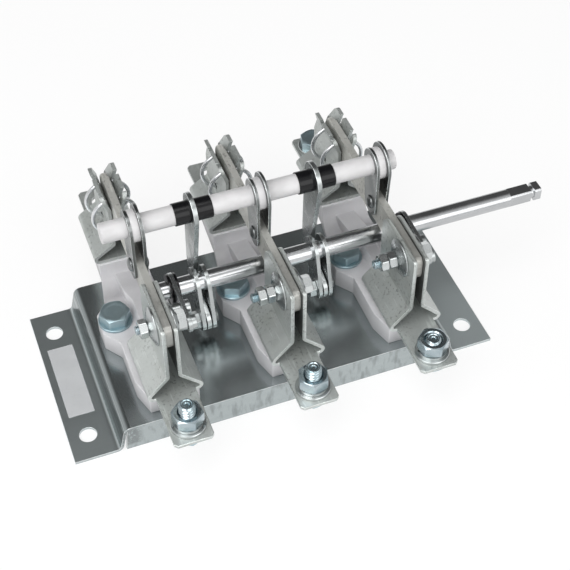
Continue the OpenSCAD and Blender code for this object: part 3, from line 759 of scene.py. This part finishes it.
class DISCONNECTOR_OT_plate(bpy.types.Operator):
    """Finish the mounting plate and lay the blank label on its left flange"""

    bl_idname = "disconnector.plate"
    bl_label = "Mounting Plate"

    def execute(self, context):
        s = context.scene
        c, label = s.disc_finishes, s.disc_label
        sheet = galvanised_finish("galvanised_sheet", c.sheet, rough=0.22)
        # lightened far above the sheet, the plate's rubbed edges make a painted highlight along its
        # bends and edges
        rubbed_and_highlit_edge = rubbed_and_highlit_finish("galvanised_edge", shade(c.sheet, 1.7), rough=0.45)
        broken_edges("base_plate", s.disc_edges.plate, sheet, edge=rubbed_and_highlit_edge)
        half_w, half_l = label.width / 2, label.length / 2
        outline = [(label.x + sx * half_w, label.y + sy * half_l) for sx, sy in SQUARE]
        heights = (FLANGE_TOP - LABEL_SINK, FLANGE_TOP + LABEL_THICK)
        bm = bmesh.new()
        loft(bm, [[(x, y, z) for x, y in outline] for z in heights])
        piece = finished_object("blank_label", bm)
        film = moulded_finish("label_film", c.label, rough=0.32, grain_mm=0.01)
        piece.data.materials.append(film)
        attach(piece, "frame")
        return {"FINISHED"}


class DISCONNECTOR_OT_insulators(bpy.types.Operator):
    """Finish the moulded insulators"""

    bl_idname = "disconnector.insulators"
    bl_label = "Insulators"

    def execute(self, context):
        s = context.scene
        finish = moulded_finish(
            "insulator_moulding",
            s.disc_finishes.moulding,
            rough=0.48,
            grain_mm=0.03,
            foot=INSULATOR_SHADE_Z,
        )
        for pole in POLES:
            broken_edges(f"insulator_{pole}", s.disc_edges.moulding, finish, segments=3)
        return {"FINISHED"}


class DISCONNECTOR_OT_contacts(bpy.types.Operator):
    """Finish the hinge contacts, jaws, spring rings and blades"""

    bl_idname = "disconnector.contacts"
    bl_label = "Contacts and Blades"

    def execute(self, context):
        c, edges = context.scene.disc_finishes, context.scene.disc_edges
        folded = {
            "rough": 0.4,
            "cloud_per_m": 60.0,
            "streaks": (1.0, 1.0, 0.06),
            "metallic": 0.6,
            "gap_shade": (GAP_SHADE_HALF_X, GAP_SHADE_LOW_Z),
        }
        tin = sheet_finish("tinned_contact", c.tinned, **folded)
        jaw = sheet_finish("tinned_jaw", shade(c.tinned, 0.88), **folded)
        blade = sheet_finish(
            "tinned_blade",
            c.blade,
            rough=0.4,
            cloud_per_m=55.0,
            streaks=(1.0, 0.05, 1.0),
            metallic=0.5,
            soil=BLADE_SOIL_Y,
        )
        rubbed_and_highlit_edge = rubbed_and_highlit_finish("tinned_edge", c.tinned, rough=0.3)
        wire = turned_finish("spring_wire", shade(c.shaft, 1.35), rough=0.2)
        for pole in POLES:
            broken_edges(f"hinge_contact_{pole}", edges.sheet, tin, edge=rubbed_and_highlit_edge)
            broken_edges(f"jaw_contact_{pole}", edges.sheet, jaw, edge=rubbed_and_highlit_edge)
            broken_edges(f"blade_{pole}", edges.bar, blade, edge=rubbed_and_highlit_edge, nose_mm=NOSE_MM)
            broken_edges(f"jaw_springs_{pole}", SMALL_EDGE_MM, wire)
        return {"FINISHED"}


class DISCONNECTOR_OT_rod(bpy.types.Operator):
    """Finish the insulating rod with its sleeves, spacers and brackets"""

    bl_idname = "disconnector.rod"
    bl_label = "Insulating Rod"

    def execute(self, context):
        c, edges = context.scene.disc_finishes, context.scene.disc_edges
        white = moulded_finish("rod_white", c.rod, rough=0.34, grain_mm=0.02, smudge=0.3)
        black = moulded_finish("sleeve_black", c.black, rough=0.2, grain_mm=0.02, gloss=0.3)
        # darker zinc for the brackets, darkened further as painted shade for the gap between their
        # plates
        dark, darker = shade(c.zinc, 0.4), shade(c.zinc_tint, 0.37)
        zinc = plated_finish("bracket_zinc", dark, darker, rough=0.3)
        rubbed_and_highlit_edge = rubbed_and_highlit_finish("bracket_edge", c.zinc, rough=0.22)
        broken_edges("insulating_rod", edges.bar, white)
        broken_edges("rod_spacers", SMALL_EDGE_MM, white)
        broken_edges("rod_sleeves", SMALL_EDGE_MM, black)
        broken_edges("retaining_rings", SMALL_EDGE_MM, black)
        for pole in POLES:
            broken_edges(f"rod_brackets_{pole}", edges.sheet, zinc, edge=rubbed_and_highlit_edge)
        broken_edges("bracket_rivets", RIVET_EDGE_MM, zinc)
        return {"FINISHED"}


class DISCONNECTOR_OT_drive(bpy.types.Operator):
    """Finish the drive shaft, levers, links and bearing plates"""

    bl_idname = "disconnector.drive"
    bl_label = "Drive"

    def execute(self, context):
        c, edges = context.scene.disc_finishes, context.scene.disc_edges
        bar = turned_finish("bright_bar", c.shaft, rough=0.18)
        broken_edges("drive_shaft", edges.bar, bar)
        low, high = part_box("drive_shaft")
        left_end = (low[0], (low[1] + high[1]) / 2, (low[2] + high[2]) / 2)
        bm = bmesh.new()
        loft(bm, [circle(r, z) for r, z in SHAFT_TAIL])
        turn_to_x(bm)
        bmesh.ops.translate(bm, verts=bm.verts, vec=left_end)
        tail = finished_object("shaft_tail", bm)
        tail.data.materials.append(bar)
        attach(tail, "drive")
        slot_of("drive_shaft")
        dark, darker = shade(c.zinc, 0.86), shade(c.zinc_tint, 0.8)
        zinc = plated_finish("lever_zinc", dark, darker, rough=0.28)
        rubbed_and_highlit_edge = rubbed_and_highlit_finish("lever_edge", c.zinc, rough=0.22)
        plates = ("bearing_plate_left", "bearing_plate_right")
        for node in ("levers_1", "levers_2", "link_1", "link_2", *plates):
            broken_edges(node, edges.sheet, zinc, edge=rubbed_and_highlit_edge)
        for node in ("lever_pins", "bearing_studs", "cone_washers"):
            broken_edges(node, SMALL_EDGE_MM, zinc)
        return {"FINISHED"}


class DISCONNECTOR_OT_fasteners(bpy.types.Operator):
    """Build the bolts, nuts and washers with chamfers and threads"""

    bl_idname = "disconnector.fasteners"
    bl_label = "Fasteners"

    def fixing_bolts(self, finish, dish):
        """A pressed collar and a hexagon head on each insulator's ear."""
        bm = bmesh.new()
        add_lathe(bm, COLLAR)
        add_head(bm, M10_FLATS, *EAR_HEAD, dish)
        ears = [(x + EAR_X, EAR_Y, 0.0) for x in POLE_X]
        spin = (0.0, 0.0, SIXTH_TURN)
        set_out("fixing_screws", bm, ears, finish, "fixing_bolts", spin=spin, seed=95)

    def terminal_bolts(self, finish, thread, pitch, dish):
        """Three bolts that point up at the front, and one that points down behind pole 3."""
        bolts = [
            ((x, TERMINAL_Y, 0.0), FRONT_HEAD, (FRONT_THREAD_FROM, end), x * FRONT_SPIN_PER_M)
            for x, end in zip(POLE_X, FRONT_ENDS)
        ]
        bolts.append(((POLE_X[2], REAR_TERMINAL_Y, 0.0), REAR_HEAD, REAR_THREAD, REAR_SPIN))
        bm = bmesh.new()
        for place, head, run, spin in bolts:
            built = bmesh.new()
            add_head(built, M10_FLATS, *head, dish)
            add_thread(built, M10_RADIUS, *run, pitch)
            join_at(bm, built, place, spin)
        dress(finished_object("terminal_screws", bm), finish, "terminal_bolts", edge=thread)

    def terminal_stacks(self, nut, zinc):
        """Nuts and plain washers on those four bolts, and spring washers at the front."""

        def front(z):
            return [(x, TERMINAL_Y, z) for x in POLE_X]

        def rear(z):
            return [(POLE_X[2], REAR_TERMINAL_Y, z)]

        bm = bmesh.new()
        add_nut(bm, M10_FLATS, M10_NUT, M10_BORE)
        places = front(FRONT_NUT_Z) + rear(REAR_NUT_Z)
        spin = (0.0, 0.0, SIXTH_TURN)
        set_out("terminal_hexagon_nuts", bm, places, nut, "terminal_nuts", spin=spin, seed=361)

        bm = bmesh.new()
        add_split_washer(bm, SPLIT_INNER, SPLIT_OUTER, SPLIT_THICK, SPLIT_RISE)
        places = front(FRONT_SPLIT_Z)
        spin = (0.0, 0.0, math.pi)
        set_out("split_washers", bm, places, zinc, "spring_washers", spin=spin, seed=2)

        bm = bmesh.new()
        add_lathe(bm, WASHER)
        places = front(FRONT_WASHER_Z) + rear(REAR_WASHER_Z)
        set_out("plain_washers", bm, places, zinc, "flat_washers")

    def hinges(self, finish, thread, pitch, dish):
        """The hinge bolts along X with their nuts on the left."""
        for pole, x, end in zip(POLES, POLE_X, HINGE_ENDS):
            bm = bmesh.new()
            add_head(bm, M6_FLATS, *HINGE_HEAD, dish)
            add_thread(bm, M6_RADIUS, HINGE_THREAD_FROM, end, pitch)
            turn_to_x(bm)
            bmesh.ops.translate(bm, verts=bm.verts, vec=(x, HINGE_Y, HINGE_Z))
            bolt = finished_object(f"hinge_screw_{pole}", bm)
            dress(bolt, finish, f"hinge_bolt_{pole}", edge=thread)
        bm = bmesh.new()
        add_nut(bm, M6_FLATS, M6_NUT, M6_BORE)
        turn_to_x(bm)
        places = [
            (x + offset, HINGE_Y, HINGE_Z)
            for x, nuts in zip(POLE_X, HINGE_NUTS)
            for offset in HINGE_NUT_X[:nuts]
        ]
        spin = (SIXTH_TURN, 0.0, 0.0)
        set_out("hinge_hexagon_nuts", bm, places, finish, "hinge_nuts", spin=spin, seed=5)

    def execute(self, context):
        c, sizes = context.scene.disc_finishes, context.scene.disc_fasteners
        blue = plated_finish("bolt_zinc", c.blue_zinc, c.blue_tint, rough=0.44)
        bright = plated_finish("nut_zinc", c.nut_zinc, c.nut_tint, rough=0.2)
        zinc = plated_finish("washer_zinc", c.zinc, c.zinc_tint, rough=0.3)
        white = plated_finish("hinge_zinc", shade(c.zinc, 1.22), c.zinc, rough=0.22)
        thread = plated_finish("thread_zinc", c.thread, c.blue_tint, rough=0.24)
        dish = sizes.dish * MM
        self.fixing_bolts(blue, dish)
        self.terminal_bolts(blue, thread, sizes.terminal_pitch * MM, dish)
        self.terminal_stacks(bright, zinc)
        self.hinges(white, thread, sizes.hinge_pitch * MM, dish)
        return {"FINISHED"}


class DISCONNECTOR_OT_stage(bpy.types.Operator):
    """Set up the floor, the studio light and the camera"""

    bl_idname = "disconnector.stage"
    bl_label = "Studio Stage"

    def sky(self, scene):
        """White surroundings with one dark screen behind and above the switch."""
        world = bpy.data.worlds.new("studio")
        scene.world = world
        world.use_nodes = True
        tree = world.node_tree
        new, join = tree.nodes.new, tree.links.new
        way, dot = new("ShaderNodeTexCoord"), new("ShaderNodeVectorMath")
        dot.operation = "DOT_PRODUCT"
        dot.inputs[1].default_value = SCREEN_WAY
        dark = new("ShaderNodeMapRange")
        for key, value in SCREEN_FADE.items():
            dark.inputs[key].default_value = value
        background = tree.nodes["Background"]
        background.inputs["Color"].default_value = WHITE
        join(way.outputs["Generated"], dot.inputs[0])
        join(dot.outputs["Value"], dark.inputs["Value"])
        join(dark.outputs[0], background.inputs["Strength"])

    def paper(self, stage):
        """White paper, lifted towards white where the camera or a reflection sees it."""
        f = Finish("floor_paper")
        f.feed(base_color=shade(stage.floor, 1.0), roughness=0.9)
        camera, glossy, through = (
            f.node("ShaderNodeLightPath", out=f"Is {ray} Ray")
            for ray in ("Camera", "Glossy", "Transmission")
        )
        seen = (camera + glossy + through) * stage.lift
        glow = f.node("ShaderNodeEmission", None, {"Color": WHITE, "Strength": 1.0})
        plain = Wire(f, f.shader.outputs["BSDF"])
        mixed = f.node("ShaderNodeMixShader", None, {0: seen, 1: plain, 2: glow})
        f.tree.links.new(mixed.socket, f.tree.nodes["Material Output"].inputs["Surface"])
        return f.material

    def stand(self, scene, data, place, target):
        """A lamp or camera at a place, turned towards a point."""
        made = bpy.data.objects.new(data.name, data)
        made.location = place
        made.rotation_mode = "QUATERNION"
        made.rotation_quaternion = (Vector(target) - Vector(place)).to_track_quat("-Z", "Y")
        scene.collection.objects.link(made)
        return made

    def execute(self, context):
        scene, stage = context.scene, context.scene.disc_stage
        outline = [(x * FLOOR_HALF, y * FLOOR_HALF) for x, y in SQUARE]
        bm = bmesh.new()
        loft(bm, [[(x, y, z) for x, y in outline] for z in (-FLOOR_THICK, 0.0)])
        floor = finished_object("studio_floor", bm)
        floor.data.materials.append(self.paper(stage))
        self.sky(scene)
        # Name, place, size and power
        lamps = (
            ("key_lamp", (-0.82, -0.58, 1.12), 1.0, stage.key),
            ("front_lamp", (0.35, -1.15, 0.75), 1.0, stage.fill),
            ("top_lamp", (-0.15, -0.05, 1.35), 0.7, stage.top),
        )
        for name, place, size, power in lamps:
            data = bpy.data.lights.new(name, "AREA")
            data.size = size
            data.energy = power
            self.stand(scene, data, place, LAMP_AIM)
        data = bpy.data.cameras.new("photo_camera")
        data.lens = stage.lens
        data.sensor_width = SENSOR_MM
        scene.camera = self.stand(scene, data, stage.eye, stage.target)
        scene.view_settings.view_transform = "Standard"
        return {"FINISHED"}


class DISCONNECTOR_PT_panel(bpy.types.Panel):
    """The switch's pieces and settings in the sidebar"""

    bl_label = "Disconnector"
    bl_idname = "DISCONNECTOR_PT_panel"
    bl_space_type = "VIEW_3D"
    bl_region_type = "UI"
    bl_category = "Disconnector"

    def draw(self, context):
        for step in STEPS:
            self.layout.operator(step.bl_idname)
        for name in GROUPS:
            group = getattr(context.scene, name)
            for key in group.__annotations__:
                self.layout.prop(group, key)


GROUPS = {
    "disc_finishes": DisconnectorFinishes,
    "disc_edges": DisconnectorEdges,
    "disc_fasteners": DisconnectorFasteners,
    "disc_label": DisconnectorLabel,
    "disc_stage": DisconnectorStage,
}
STEPS = (
    DISCONNECTOR_OT_plate,
    DISCONNECTOR_OT_insulators,
    DISCONNECTOR_OT_contacts,
    DISCONNECTOR_OT_rod,
    DISCONNECTOR_OT_drive,
    DISCONNECTOR_OT_fasteners,
    DISCONNECTOR_OT_stage,
)


def register():
    for cls in (*GROUPS.values(), *STEPS, DISCONNECTOR_PT_panel):
        bpy.utils.register_class(cls)
    for name, group in GROUPS.items():
        setattr(bpy.types.Scene, name, bpy.props.PointerProperty(type=group))


def unregister():
    for name in GROUPS:
        delattr(bpy.types.Scene, name)
    for cls in (DISCONNECTOR_PT_panel, *STEPS, *GROUPS.values()):
        bpy.utils.unregister_class(cls)


def main():
    register()
    for step in STEPS:
        family, piece = step.bl_idname.split(".")
        getattr(getattr(bpy.ops, family), piece)()


if __name__ == "__main__":
    main()
